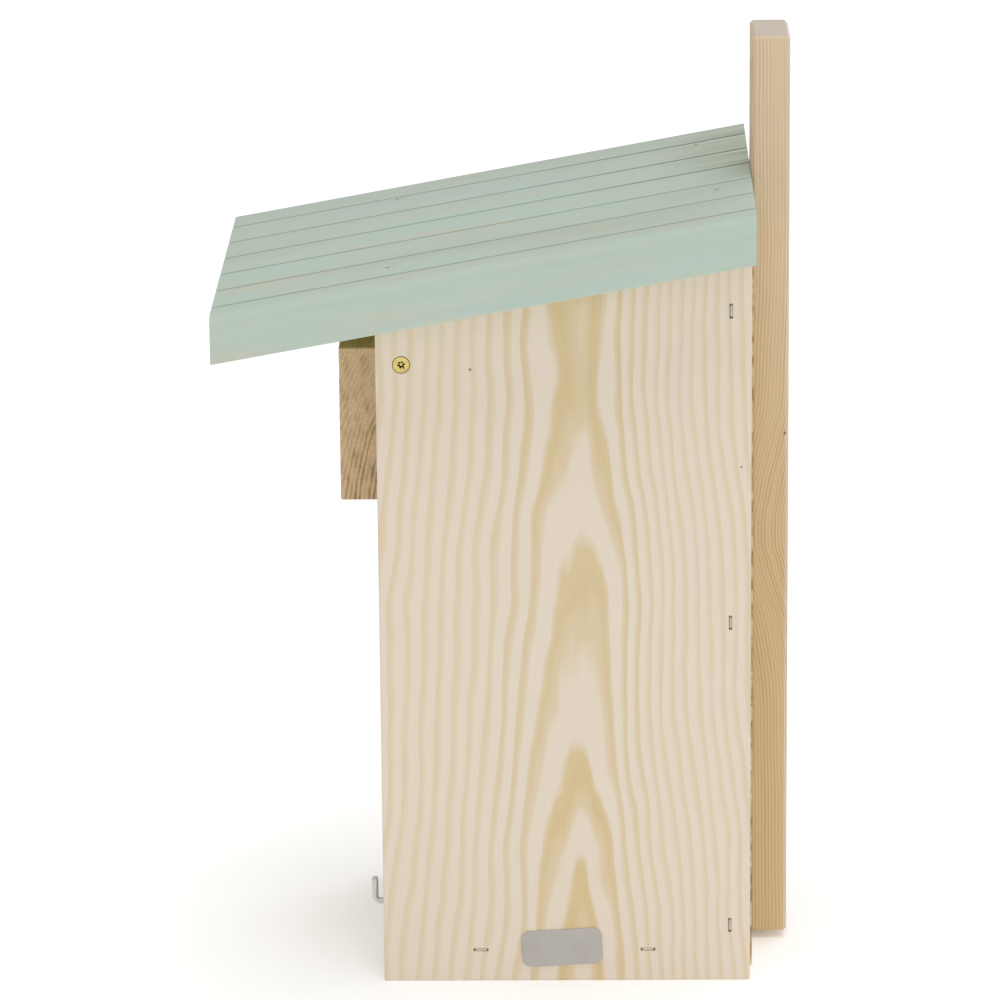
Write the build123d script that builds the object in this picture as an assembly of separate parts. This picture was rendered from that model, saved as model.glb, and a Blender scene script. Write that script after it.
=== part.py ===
from build123d import *
import math
import os

# Nest box with a front panel that swings on two screws, in millimetres.
# +Z is up, the entrance faces -Y, and the origin is the middle of the footprint at floor level.

# Boards
side_thickness = 16.0
front_thickness = 16.0
back_thickness = 16.0
floor_thickness = 16.0
block_thickness = 15.6
roof_thickness = 19.0
batten_thickness = 14.8

# Box
box_width = 130.0            # over the outer faces of the two side panels
box_depth = 145.0            # width of a side panel, front edge to back edge
front_height = 269.6         # side panel's height at its front edge
roof_pitch = 10.3            # degrees, rising to the back
floor_height = 5.0           # floor board's underside above the foot of the side panels
board_ease = 0.5             # chamfer on the boards' sharp edges
back_proud = 1.2             # back panel's back face behind the side panels' back edges

# Roof board
roof_width = 175.5
roof_overhang = 62.0         # in front of the box, measured level
roof_back_gap = 0.2          # to the batten
roof_edge_radius = 5.0
groove_count = 6
groove_pitch = 27.6
groove_first = 14.5          # first groove's centre from the right edge
groove_width = 2.2
groove_depth = 1.0

# Batten
batten_width = 35.0
batten_foot = 3.0            # its lower end above the foot of the side panels
batten_rise = 55.4           # its top above the roof's top at the back
batten_ease = 1.2
hanging_hole_radius = 3.25
hanging_hole_from_top = 16.0

# Front panel and entrance
front_side_gap = 1.0         # each side
front_top_gap = 5.0          # under the roof, at the front face
front_foot_gap = 2.0         # above the foot of the side panels
front_floor_gap = 1.0        # in front of the floor board
pivot_setback = 10.0         # pivot axis behind the front face
pivot_drop = 17.2            # pivot axis below the roof's underside at the front face
entrance_radius = 16.0
entrance_ease = 1.5
block_width = 62.0
block_height = 62.0
block_top_drop = 18.6        # block's top below the roof's underside at the front face
block_ease = 0.5

# Floor drain holes
drain_radius = 3.0
drain_inset = 15.0

# Countersunk screws with a six-lobe recess
screw_radius = 1.75
screw_head_radius = 3.5
screw_tip = 3.0
recess_radius = 1.05
recess_lobe_radius = 0.42
recess_depth = 1.3
pivot_screw_length = 40.0
batten_screw_length = 28.0
batten_screw_inset = 45.0    # from the back panel's foot and from its top
running_clearance = 0.08     # round a turning shank, on the radius

# Wire hook
hook_wire = 2.5
hook_reach = 3.6             # leg's centre in front of the box
hook_leg = 10.2              # shank's centre to the leg's tip
hook_bend = 2.0              # bend radius at the wire's centre
hook_tip_radius = 1.1
hook_depth = 15.0            # length inside the side panel
hook_height = 30.0
hook_inset = 5.0             # shank's centre from the side panel's inner face

# Staples
staple_crown = 5.8
staple_wire_wide = 1.25
staple_wire_thick = 1.05
staple_leg = 30.0
roof_staple_leg = 34.0
block_staple_leg = 25.0
staple_clearance = 0.02
back_staple_inset = 23.0     # from the side panel's foot and from its back corner's top
back_staple_setback = 8.0    # in front of the side panel's back edge
floor_staple_front_inset = 21.4
floor_staple_back_inset = 25.6
roof_staple_side_inset = 5.0      # from the side panel's outer face
roof_staple_front_inset = 7.5     # from the side panel's front edge, at the roof's top
roof_staple_back_inset = 16.5     # from its back edge
roof_staple_middle_offset = 29.5  # the one in the back panel, right of the middle
roof_staple_middle_inset = 11.7   # from the back panel's back face
block_staple_inset = 6.0

# Label
label_length = 32.0
label_height = 15.0
label_thickness = 0.5
label_radius = 3.6
label_tilt = 3.0
label_setback = 70.5         # centre behind the front edge
label_centre_height = 14.0

# Places worked out from the sizes
overall_depth = roof_overhang + box_depth + back_proud + batten_thickness
y_front = roof_overhang - overall_depth / 2
y_back = y_front + box_depth
y_rear = y_back + back_proud
x_outer = box_width / 2
x_inner = x_outer - side_thickness
slope = math.tan(math.radians(roof_pitch))
roof_rise = roof_thickness / math.cos(math.radians(roof_pitch))
pivot_y = y_front + pivot_setback
pivot_z = front_height - pivot_drop
block_top = front_height - block_top_drop
entrance_z = block_top - block_height / 2
hook_x = x_inner + hook_inset
floor_centre = floor_height + floor_thickness / 2
y_inside = y_rear - back_thickness
back_staple_y = y_back - back_staple_setback
floor_front_y = y_front + front_thickness + front_floor_gap
roof_frame = Pos(0, y_front, front_height) * Rot(roof_pitch, 0, 0)

TO_RIGHT = Rot(0, 90, 0)     # turn a piece made along +Z to face +X, -X, -Y or +Y
TO_LEFT = Rot(0, -90, 0)
TO_FRONT = Rot(90, 0, 0)
TO_BACK = Rot(-90, 0, 0)
ALONG_X = Rot(0, 0, 90)      # turn a staple's crown from Y to X


def roof_underside(y):
    """Height of the roof's underside at a place along Y."""
    return front_height + slope * (y - y_front)


def eased(solid, size):
    """Chamfer every edge of a plain board."""
    return chamfer(solid.edges(), size)


def board(x_low, x_high, y_low, y_high, z_low, z_high, ease=board_ease):
    """Rectangular board between two corners, with eased edges."""
    size = (x_high - x_low, y_high - y_low, z_high - z_low)
    middle = Pos((x_low + x_high) / 2, (y_low + y_high) / 2, (z_low + z_high) / 2)
    return eased(middle * Box(*size), ease)


def prism_along_x(corners, x_low, x_high):
    """Board whose outline is given by (y, z) corners, with eased edges."""
    outline = Plane.YZ * make_face(Polyline(*corners, close=True))
    return eased(Pos(x_low, 0, 0) * extrude(outline, amount=x_high - x_low), board_ease)


# ---- fasteners, each made along -Z with its outer face at Z = 0 ----


def staple(leg, grow=0.0):
    """Wire staple with its crown along Y; grow makes the pocket it sits in."""
    wide = staple_wire_wide + 2 * grow
    thick = staple_wire_thick + 2 * grow
    crown = staple_crown + 2 * grow
    body = Pos(0, 0, grow) * Box(wide, crown, thick, align=(Align.CENTER, Align.CENTER, Align.MAX))
    for side in (-1, 1):
        y_leg = side * (crown - thick) / 2
        rod = Box(wide, thick, leg + 2 * grow, align=(Align.CENTER, Align.CENTER, Align.MAX))
        body += Pos(0, y_leg, grow) * rod
    return body


def screw_body(length, grow=0.0):
    """Countersunk head, plain shank and point; grow is added to every radius."""
    head = screw_head_radius - screw_radius
    corners = [(0, 0), (screw_head_radius + grow, 0), (screw_radius + grow, -head)]
    corners += [(screw_radius + grow, screw_tip - length), (0, -length)]
    half = Plane.XZ * make_face(Polyline(*corners, close=True))
    return revolve(half, Axis.Z)


def screw(length):
    """Countersunk screw with a six-lobe recess."""
    recess = Cylinder(recess_radius, recess_depth, align=(Align.CENTER, Align.CENTER, Align.MAX))
    lobe = Cylinder(recess_lobe_radius, recess_depth, align=(Align.CENTER, Align.CENTER, Align.MAX))
    for turn in range(6):
        recess += Rot(0, 0, 60 * turn) * Pos(recess_radius, 0, 0) * lobe
    return screw_body(length) - recess


def pivot_place(side):
    """Where a pivot screw enters: side is 1 for right and -1 for left."""
    turn = TO_RIGHT if side > 0 else TO_LEFT
    return Pos(side * x_outer, pivot_y, pivot_z) * turn


def back_staple_places(side):
    turn = TO_RIGHT if side > 0 else TO_LEFT
    low = back_staple_inset
    high = roof_underside(y_back) - back_staple_inset
    heights = (low, (low + high) / 2, high)
    return [Pos(side * x_outer, back_staple_y, z) * turn * ALONG_X for z in heights]


def floor_staple_places(side):
    turn = TO_RIGHT if side > 0 else TO_LEFT
    places = (floor_front_y + floor_staple_front_inset, y_inside - floor_staple_back_inset)
    return [Pos(side * x_outer, y, floor_centre) * turn for y in places]


def roof_staple_place(x, y):
    """On the roof's top face over the place (x, y), driven square to it."""
    lean = math.radians(roof_pitch)
    along = (y - y_front + roof_thickness * math.sin(lean)) / math.cos(lean)
    return roof_frame * Pos(x, along, roof_thickness)


def roof_staple_places():
    x_side = x_outer - roof_staple_side_inset
    y_low = y_front + roof_staple_front_inset
    return [
        roof_staple_place(x_side, y_low),
        roof_staple_place(roof_staple_middle_offset, y_rear - roof_staple_middle_inset),
        roof_staple_place(-x_side, y_low),
        roof_staple_place(-x_side, y_back - roof_staple_back_inset),
    ]


def block_staple_places():
    x = block_width / 2 - block_staple_inset
    return [Pos(side * x, y_front - block_thickness, entrance_z) * TO_FRONT for side in (-1, 1)]


def batten_screw_places():
    y = y_rear + batten_thickness
    heights = (batten_screw_inset, roof_underside(y_rear) - batten_screw_inset)
    return [Pos(0, y, z) * TO_BACK for z in heights]


def without_staples(solid, places, leg):
    """Cut the staples' pockets from a board."""
    for place in places:
        solid -= place * staple(leg, staple_clearance)
    return solid


# ---- boards ----


def side_panel(side):
    """Side board with a sloping top; side is 1 for right and -1 for left."""
    corners = [(y_front, 0), (y_back, 0), (y_back, roof_underside(y_back)), (y_front, front_height)]
    x_low = min(side * x_inner, side * x_outer)
    panel = prism_along_x(corners, x_low, x_low + side_thickness)
    panel -= pivot_place(side) * screw_body(pivot_screw_length, running_clearance)
    panel = without_staples(panel, back_staple_places(side) + floor_staple_places(side), staple_leg)
    panel = without_staples(panel, roof_staple_places(), roof_staple_leg)
    if side > 0:
        socket = Cylinder(hook_wire / 2 + running_clearance, hook_depth + 1,
                          align=(Align.CENTER, Align.CENTER, Align.MAX))
        panel -= Pos(hook_x, y_front, hook_height) * TO_FRONT * socket
    return panel


def back_panel():
    """Back board between the side panels, its top cut to the roof."""
    corners = [(y_inside, 0), (y_rear, 0)]
    corners += [(y_rear, roof_underside(y_rear)), (y_inside, roof_underside(y_inside))]
    panel = prism_along_x(corners, -x_inner, x_inner)
    for side in (-1, 1):
        panel = without_staples(panel, back_staple_places(side), staple_leg)
    panel = without_staples(panel, roof_staple_places(), roof_staple_leg)
    for place in batten_screw_places():
        panel -= place * screw_body(batten_screw_length)
    return panel


def floor_panel():
    """Floor board between the side panels, with four drain holes."""
    top = floor_height + floor_thickness
    panel = board(-x_inner, x_inner, floor_front_y, y_inside, floor_height, top)
    for x in (-x_inner + drain_inset, x_inner - drain_inset):
        for y in (floor_front_y + drain_inset, y_inside - drain_inset):
            panel -= Pos(x, y, floor_centre) * Cylinder(drain_radius, 2 * floor_thickness)
    for side in (-1, 1):
        panel = without_staples(panel, floor_staple_places(side), staple_leg)
    return panel


def entrance_hole():
    """Cutter for the round entrance, through the front panel and its block."""
    length = 4 * (front_thickness + block_thickness)
    return Pos(0, y_front, entrance_z) * TO_FRONT * Cylinder(entrance_radius, length)


def front_panel():
    """Front board that swings, its edges clear of the side panels."""
    x = x_inner - front_side_gap
    panel = board(-x, x, y_front, y_front + front_thickness, front_foot_gap, front_height - front_top_gap)
    panel -= entrance_hole()
    for side in (-1, 1):
        panel -= pivot_place(side) * screw_body(pivot_screw_length)
    return without_staples(panel, block_staple_places(), block_staple_leg)


def entrance_block():
    """Square block round the entrance, fixed on the front panel."""
    x = block_width / 2
    y_face = y_front - block_thickness
    block = board(-x, x, y_face, y_front, block_top - block_height, block_top, block_ease)
    block -= entrance_hole()
    mouth = Cone(entrance_radius + entrance_ease, entrance_radius, entrance_ease)
    block -= Pos(0, y_face + entrance_ease / 2, entrance_z) * TO_BACK * mouth
    return without_staples(block, block_staple_places(), block_staple_leg)


def roof_board():
    """Grooved roof board, laid to the pitch and cut plumb at both ends."""
    length = 2 * (overall_depth + roof_thickness)
    blank = Box(roof_width, length, roof_thickness, align=(Align.CENTER, Align.CENTER, Align.MIN))
    long_edges = blank.edges().filter_by(Axis.Y)
    blank = fillet(long_edges.group_by(Axis.Z)[-1], roof_edge_radius)
    corners = [(-groove_width / 2, 0), (groove_width / 2, 0), (0, -groove_depth)]
    vee = extrude(Plane.XZ * make_face(Polyline(*corners, close=True)), amount=length / 2, both=True)
    for index in range(groove_count):
        x = roof_width / 2 - groove_first - index * groove_pitch
        blank -= Pos(x, 0, roof_thickness) * vee
    y_low = y_front - roof_overhang
    y_high = y_rear - roof_back_gap
    slab = Pos(0, (y_low + y_high) / 2, front_height) * Box(2 * roof_width, y_high - y_low, 2 * length)
    return without_staples(roof_frame * blank & slab, roof_staple_places(), roof_staple_leg)


def back_batten():
    """Upright batten on the back, with a hole near the top for a fixing."""
    x = batten_width / 2
    top = roof_underside(y_rear) + roof_rise + batten_rise
    batten = board(-x, x, y_rear, y_rear + batten_thickness, batten_foot, top, batten_ease)
    hole = Cylinder(hanging_hole_radius, 3 * batten_thickness)
    batten -= Pos(0, y_rear, top - hanging_hole_from_top) * TO_BACK * hole
    for place in batten_screw_places():
        batten -= place * screw_body(batten_screw_length)
    return batten


# ---- hook and label ----


def turn_hook():
    """Wire hook: a shank into the side panel's front edge and a leg that turns up."""
    inner_end = (hook_x, y_front + hook_depth, hook_height)
    corner = (hook_x, y_front - hook_reach, hook_height)
    leg_tip = (hook_x, y_front - hook_reach, hook_height + hook_leg)
    path = FilletPolyline(inner_end, corner, leg_tip, radius=hook_bend)
    start = Plane(origin=inner_end, z_dir=(0, -1, 0))
    wire = sweep(start * Circle(hook_wire / 2), path=path)
    tip_edge = wire.edges().sort_by(Axis.Z)[-1]
    return fillet(tip_edge, hook_tip_radius)


def label_plate():
    """Plain rounded plate on the right side panel, a little out of level."""
    outline = RectangleRounded(label_length, label_height, label_radius)
    plate = extrude(outline, amount=label_thickness)
    tilt = math.radians(label_tilt)
    centre = (x_outer, y_front + label_setback, label_centre_height)
    along = (0, math.cos(tilt), math.sin(tilt))
    return Plane(origin=centre, x_dir=along, z_dir=(1, 0, 0)) * plate


os.makedirs("parts", exist_ok=True)
nodes = {
    "right_side_panel": side_panel(1),
    "left_side_panel": side_panel(-1),
    "back_panel": back_panel(),
    "floor_panel": floor_panel(),
    "front_panel": front_panel(),
    "entrance_block": entrance_block(),
    "roof_board": roof_board(),
    "back_batten": back_batten(),
    "turn_hook": turn_hook(),
    "label_plate": label_plate(),
    "pivot_screw_right": pivot_place(1) * screw(pivot_screw_length),
    "pivot_screw_left": pivot_place(-1) * screw(pivot_screw_length),
}
groups = {
    "back_staple_right": (back_staple_places(1), staple(staple_leg)),
    "back_staple_left": (back_staple_places(-1), staple(staple_leg)),
    "floor_staple_right": (floor_staple_places(1), staple(staple_leg)),
    "floor_staple_left": (floor_staple_places(-1), staple(staple_leg)),
    "roof_staple": (roof_staple_places(), staple(roof_staple_leg)),
    "block_staple": (block_staple_places(), staple(block_staple_leg)),
    "batten_screw": (batten_screw_places(), screw(batten_screw_length)),
}
for name, (places, fastener) in groups.items():
    for number, place in enumerate(places, start=1):
        nodes[f"{name}_{number}"] = place * fastener

for name, shape in nodes.items():
    export_step(shape, f"parts/{name}.step")
print(len(nodes), "nodes")
print("pivot", 0, round(pivot_y, 3), round(pivot_z, 3))
print("entrance height", round(entrance_z, 3), "hook", round(hook_x, 3), round(hook_height, 3))
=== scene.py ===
# %% [markdown]
# # A pine nest box
#
# This notebook dresses a nest box whose boards, screws and joints come ready made as a fixed frame.
# Blender adds the looks: the figure of planed pine, a pale green stain, sawn end grain and plated
# wire, and the small pieces that deserve a finer mesh than the frame gives them.

# %% Load the frame
import math
import bmesh
import bpy
from mathutils import Euler, Matrix, Vector


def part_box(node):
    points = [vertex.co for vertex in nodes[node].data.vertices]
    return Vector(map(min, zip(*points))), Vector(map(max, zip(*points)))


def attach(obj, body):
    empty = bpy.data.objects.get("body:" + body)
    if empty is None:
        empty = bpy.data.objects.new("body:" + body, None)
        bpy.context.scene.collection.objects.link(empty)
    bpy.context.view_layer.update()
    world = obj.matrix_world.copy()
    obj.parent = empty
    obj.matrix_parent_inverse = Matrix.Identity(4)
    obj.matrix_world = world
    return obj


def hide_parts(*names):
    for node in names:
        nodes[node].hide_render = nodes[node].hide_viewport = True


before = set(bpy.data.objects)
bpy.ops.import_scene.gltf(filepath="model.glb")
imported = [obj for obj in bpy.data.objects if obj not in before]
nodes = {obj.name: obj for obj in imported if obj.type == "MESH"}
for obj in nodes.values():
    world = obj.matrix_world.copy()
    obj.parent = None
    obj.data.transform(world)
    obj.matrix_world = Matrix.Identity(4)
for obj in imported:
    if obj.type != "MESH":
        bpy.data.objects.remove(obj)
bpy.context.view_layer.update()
MM = 0.001

# %% [markdown]
# ## Places that everything else is measured from
#
# The right side panel is the large pale face. Its outer face, front edge and sloping top place the
# camera, the grain and the small fittings, so they are read from the frame once. A node's box doesn't
# tell its slope, so the roof's pitch and thickness are written here as the frame has them.

# %% Reference places
side_low, side_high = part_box("right_side_panel")
roof_low, roof_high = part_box("roof_board")
block_low, block_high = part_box("entrance_block")
batten_low, batten_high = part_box("back_batten")
face_x = side_high.x
front_y = side_low.y
back_y = side_high.y
ROOF_PITCH = math.radians(10.3)
ROOF_THICKNESS = 19 * MM
under_roof_back = side_high.z
under_roof_front = under_roof_back - (back_y - front_y) * math.tan(ROOF_PITCH)
print("side face x", round(face_x, 4), "front edge y", round(front_y, 4))
print("roof underside from", round(under_roof_front, 4), "to", round(under_roof_back, 4))

# %% [markdown]
# ## Camera
#
# A long lens far away keeps upright edges nearly parallel, as in a catalogue picture. The camera looks
# at the side panel from a little above, turned a touch off square, with a slight roll. Its matrix is
# built from three angles, which is easier to adjust than a rotation typed in by hand.

# %% Camera
CAMERA_DISTANCE = 2.1464
CAMERA_DOWN = math.radians(15.65)
CAMERA_YAW = math.radians(-0.916)
CAMERA_ROLL = math.radians(-0.54)
CAMERA_LENS = 199.4
LOOK_BACK = 47.6 * MM    # the point looked at: how far behind the front edge
LOOK_UP = 198.2 * MM     # and how high

look_at = Vector((face_x, front_y + LOOK_BACK, LOOK_UP))
forward = Vector((-math.cos(CAMERA_DOWN) * math.cos(CAMERA_YAW),
                  math.cos(CAMERA_DOWN) * math.sin(CAMERA_YAW),
                  -math.sin(CAMERA_DOWN)))
camera_data = bpy.data.cameras.new("camera")
camera_data.lens = CAMERA_LENS
camera_data.clip_end = 20
camera = bpy.data.objects.new("camera", camera_data)
camera.matrix_world = (
    Matrix.Translation(look_at - forward * CAMERA_DISTANCE)
    @ forward.to_track_quat("-Z", "Y").to_matrix().to_4x4()
    @ Matrix.Rotation(CAMERA_ROLL, 4, "Z")
)
bpy.context.scene.collection.objects.link(camera)
bpy.context.scene.camera = camera
print("camera at", [round(v, 3) for v in camera.matrix_world.translation])

# %% [markdown]
# ## Studio
#
# A catalogue picture of pale wood is lit from nearly everywhere. One could use large panels, but their
# light fades across the floor and leaves a grey horizon. A distant light with a wide angle is as soft
# and doesn't fade, so three of them are used: one from the camera's side, one overhead and a weaker
# one from behind, over a dim white sky. The plain view transform shows a colour as it was chosen.

# %% Studio
SOFT = math.radians(50)


def soft_light(name, towards, level):
    """A wide distant light; level is the share of a white face's brightness that it gives square on."""
    data = bpy.data.lights.new(name, "SUN")
    data.angle = SOFT
    data.energy = level * math.pi
    light = bpy.data.objects.new(name, data)
    light.rotation_euler = Vector(towards).to_track_quat("-Z", "Y").to_euler()
    bpy.context.scene.collection.objects.link(light)


bpy.context.scene.view_settings.view_transform = "Standard"
world = bpy.data.worlds.new("studio")
bpy.context.scene.world = world
world.use_nodes = True
sky = world.node_tree.nodes["Background"]
sky.inputs["Color"].default_value = (1.0, 1.0, 1.0, 1.0)
sky.inputs["Strength"].default_value = 0.42
soft_light("front light", (-1.0, -0.3, -0.36), 0.16)
soft_light("top light", (-0.12, 0.0, -1.0), 0.44)
soft_light("back light", (1.0, -0.8, -0.5), 0.22)

FLOOR_SIZE = 8
mesh = bpy.data.meshes.new("floor")
bm = bmesh.new()
bmesh.ops.create_grid(bm, x_segments=1, y_segments=1, size=FLOOR_SIZE)
bm.to_mesh(mesh)
bm.free()
floor = bpy.data.objects.new("floor", mesh)
bpy.context.scene.collection.objects.link(floor)
print("studio ready")

# %% [markdown]
# ## Helpers for materials
#
# Colours are written as the sRGB hex values that one sees, and shaders want linear light, so one
# function converts them. Another adds a node with its settings and links in a single call. The
# floor's paper is the first material made with them.

# %% Colour and node helpers
def linear(hex_colour):
    """Linear RGBA from an sRGB hex colour such as 'd8c9a4'."""
    parts = [int(hex_colour[i:i + 2], 16) / 255 for i in (0, 2, 4)]
    return [p / 12.92 if p <= 0.04045 else ((p + 0.055) / 1.055) ** 2.4 for p in parts] + [1.0]


def add(tree, kind, inputs=None, **settings):
    """Add a node; inputs takes plain values or other nodes' output sockets."""
    new = tree.nodes.new("ShaderNode" + kind)
    for name, value in settings.items():
        setattr(new, name, value)
    for key, value in (inputs or {}).items():
        if isinstance(value, bpy.types.NodeSocket):
            tree.links.new(value, new.inputs[key])
        else:
            new.inputs[key].default_value = value
    return new


def new_material(name, roughness=0.6, metallic=0.0):
    """A node material, with its node tree and its shader."""
    material = bpy.data.materials.new(name)
    material.use_nodes = True
    shader = material.node_tree.nodes["Principled BSDF"]
    shader.inputs["Roughness"].default_value = roughness
    shader.inputs["Metallic"].default_value = metallic
    return material, material.node_tree, shader


def dress(piece, material):
    """Give a piece one material on all its faces."""
    piece.data.materials.clear()
    piece.data.materials.append(material)


def bend_curve(node, points, top):
    """Put (share of the way, value) points into a curve node whose highest value is top."""
    curve = node.mapping.curves[0]
    while len(curve.points) < len(points):
        curve.points.new(0.5, 0.5)
    for point, (share, value) in zip(curve.points, points):
        point.location = (share, value / top)
    node.mapping.update()


# Matte paper on a light table: no gloss, a faint tooth, and a little light of its own, which keeps
# the shadow at the foot pale.
paper, tree, shader = new_material("Matte white paper, rolled", 0.95)
shader.inputs["Base Color"].default_value = linear("ffffff")
shader.inputs["Specular IOR Level"].default_value = 0.0
shader.inputs["Emission Color"].default_value = linear("ffffff")
shader.inputs["Emission Strength"].default_value = 0.15
tooth = add(tree, "TexNoise", {"Scale": 900.0, "Detail": 2.0})
bump = add(tree, "Bump", {"Height": tooth.outputs[0], "Strength": 0.05, "Distance": 0.0002})
tree.links.new(bump.outputs[0], shader.inputs["Normal"])
dress(floor, paper)
print("helpers ready")

# %% [markdown]
# ## Wood, cut from growth rings
#
# A board is a slice through nested cones, the tree's yearly rings. Each ring starts as pale early wood
# and darkens into late wood, which ends sharply where the next spring began. Where a board's face runs
# almost along a ring, the ring opens into the nested arches called cathedral figure; towards the edges
# it is cut steeply and gives close upright lines.
#
# One could paint that figure on each face. Here it is a solid pattern instead: a ring number is worked
# out for every point of the board, so edges and ends carry the same rings as the face. The number is
# a sum of four things: a curve up the board, which sets where the arches peak, a curve from the
# middle to the sides, which sets how close the lines stand, a step beside the middle, which sharpens
# each peak more at the foot than higher up, and the depth below the face. Slow noise makes the lines
# wander and fine noise, stretched along the grain, feathers them.

# %% Growth rings
UP_LENGTH = 300          # mm covered by the curve up the board
UP_RINGS = 10            # its highest ring number
OVER_LENGTH = 100        # mm covered by the curve to the sides
OVER_RINGS = 20
PEAK = [(0, 0.5), (30, 0.5), (50, 0.4), (75, 0.3), (95, 0.24), (130, 0.1), (170, 0.05),
        (222, 0.25), (300, 0.25)]
PEAK_REACH = 12.0        # mm from the middle over which a peak is sharpened


def board_axes(tree, turn, start):
    """Across, depth and along sockets in mm, from a start point on the board's face."""
    turned = Euler([math.radians(angle) for angle in turn])
    offset = turned.to_matrix() @ Vector(start) / MM
    place = add(tree, "TexCoord").outputs["Object"]
    board = {"Vector": place, "Location": -offset, "Rotation": turned, "Scale": [1 / MM] * 3}
    return list(add(tree, "SeparateXYZ", {0: add(tree, "Mapping", board).outputs[0]}).outputs)


def drift(tree, place, sizes, amount, detail=1.0):
    """Noise centred on zero; sizes are its features across, into and along the board, in mm."""
    scaled = add(tree, "Mapping", {"Vector": place, "Scale": [1 / size for size in sizes]})
    noise = add(tree, "TexNoise", {"Vector": scaled.outputs[0], "Scale": 1.0, "Detail": detail})
    centred = {0: noise.outputs[0], 1: amount, 2: -amount / 2}
    return add(tree, "Math", centred, operation="MULTIPLY_ADD").outputs[0]


def total(tree, terms):
    """The sum of several sockets."""
    result = terms[0]
    for term in terms[1:]:
        result = add(tree, "Math", {0: result, 1: term}, operation="ADD").outputs[0]
    return result


def late_wood(tree, number, evenness=0.88):
    """Late wood from 0 to 1 for a ring number; the years differ more as evenness falls."""
    season = add(tree, "Math", {0: number}, operation="FRACT").outputs[0]
    late = add(tree, "ValToRGB", {0: season})
    ramp = late.color_ramp
    ramp.interpolation = "EASE"
    for stop in (ramp.elements[0], ramp.elements[1]):
        stop.color = (0.5, 0.5, 0.5, 1)
    for spot, level in ((0.08, 0.0), (0.42, 0.04), (0.62, 0.7), (0.82, 1.0), (0.95, 0.9)):
        ramp.elements.new(spot).color = (level, level, level, 1)
    year = add(tree, "Math", {0: number}, operation="FLOOR").outputs[0]
    chance = add(tree, "TexWhiteNoise", {"W": year}, noise_dimensions="1D").outputs["Value"]
    years = {0: chance, 1: 1 - evenness, 2: evenness}
    strength = add(tree, "Math", years, operation="MULTIPLY_ADD").outputs[0]
    return add(tree, "Math", {0: late.outputs[0], 1: strength}, operation="MULTIPLY").outputs[0]


def arched_rings(tree, axes, up, over, ring_depth, squeeze):
    """Late wood of a board cut along its rings, fibre noise, and the distance to the middle."""
    across, depth, along = axes
    place = add(tree, "CombineXYZ", {0: across, 1: depth, 2: along}).outputs[0]
    shifted = total(tree, [
        across,
        drift(tree, place, (80, 60, 110), 11.0),
        drift(tree, place, (28, 28, 42), 4.6),
    ])
    right = add(tree, "Math", {0: shifted, 1: 0.0}, operation="GREATER_THAN").outputs[0]
    side = add(tree, "Math", {0: right, 1: squeeze - 1, 2: 1.0}, operation="MULTIPLY_ADD").outputs[0]
    spread = add(tree, "Math", {0: shifted, 1: side}, operation="MULTIPLY").outputs[0]
    middle = add(tree, "Math", {0: spread}, operation="ABSOLUTE").outputs[0]

    share = add(tree, "Math", {0: middle, 1: 1 / OVER_LENGTH}, operation="MULTIPLY", use_clamp=True)
    sideways = add(tree, "FloatCurve", {"Value": share.outputs[0]})
    bend_curve(sideways, [(mm / OVER_LENGTH, rings) for mm, rings in over], OVER_RINGS)
    crossed = add(tree, "Math", {0: sideways.outputs[0], 1: OVER_RINGS}, operation="MULTIPLY")
    share = add(tree, "Math", {0: along, 1: 1 / UP_LENGTH}, operation="MULTIPLY", use_clamp=True)
    upwards = add(tree, "FloatCurve", {"Value": share.outputs[0]})
    bend_curve(upwards, [(mm / UP_LENGTH, rings) for mm, rings in up], UP_RINGS)
    climbed = add(tree, "Math", {0: upwards.outputs[0], 1: UP_RINGS}, operation="MULTIPLY")
    inward = add(tree, "Math", {0: depth, 1: -1 / ring_depth}, operation="MULTIPLY")
    sharpness = add(tree, "FloatCurve", {"Value": share.outputs[0]})
    bend_curve(sharpness, [(mm / UP_LENGTH, rings) for mm, rings in PEAK], 1)
    flank = {0: middle, 1: 0.0, 2: PEAK_REACH}
    flank = add(tree, "MapRange", flank, interpolation_type="SMOOTHSTEP").outputs[0]
    peaked = add(tree, "Math", {0: sharpness.outputs[0], 1: flank}, operation="MULTIPLY").outputs[0]
    number = total(tree, [
        peaked,
        crossed.outputs[0],
        climbed.outputs[0],
        inward.outputs[0],
        drift(tree, place, (9, 9, 34), 0.5),
        drift(tree, place, (1.3, 1.3, 26), 0.06),
    ])
    fibre = drift(tree, place, (0.45, 0.45, 16), 1.0, 3.0)
    return late_wood(tree, number), fibre, middle


print("ring pattern ready")

# %% [markdown]
# ### Planed pine
#
# Planed, unfinished pine is dull with a very weak sheen. Early wood is pale with a hint of pink, late
# wood is straw yellow. The planer leaves the harder late wood standing a few hundredths of a
# millimetre proud, which a slight bump shows. Near the middle of a board the late wood lies flat under
# the face and looks darker; cut steeply at the sides it looks thinner and paler.

# %% Planed pine
PINE_OVER = [(0, 0), (6, 0.05), (11, 0.16), (17, 0.58), (22, 1.2), (50, 5.5), (100, 13.5)]
RING_DEPTH = 5.5         # mm into the board from one ring to the next
SQUEEZE = 1.3            # how much closer the lines stand on the right of the middle
EARLY_PINE = "e4d6c4"
LATE_PINE = "d5bf90"
SPOT = "6d4f38"


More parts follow.
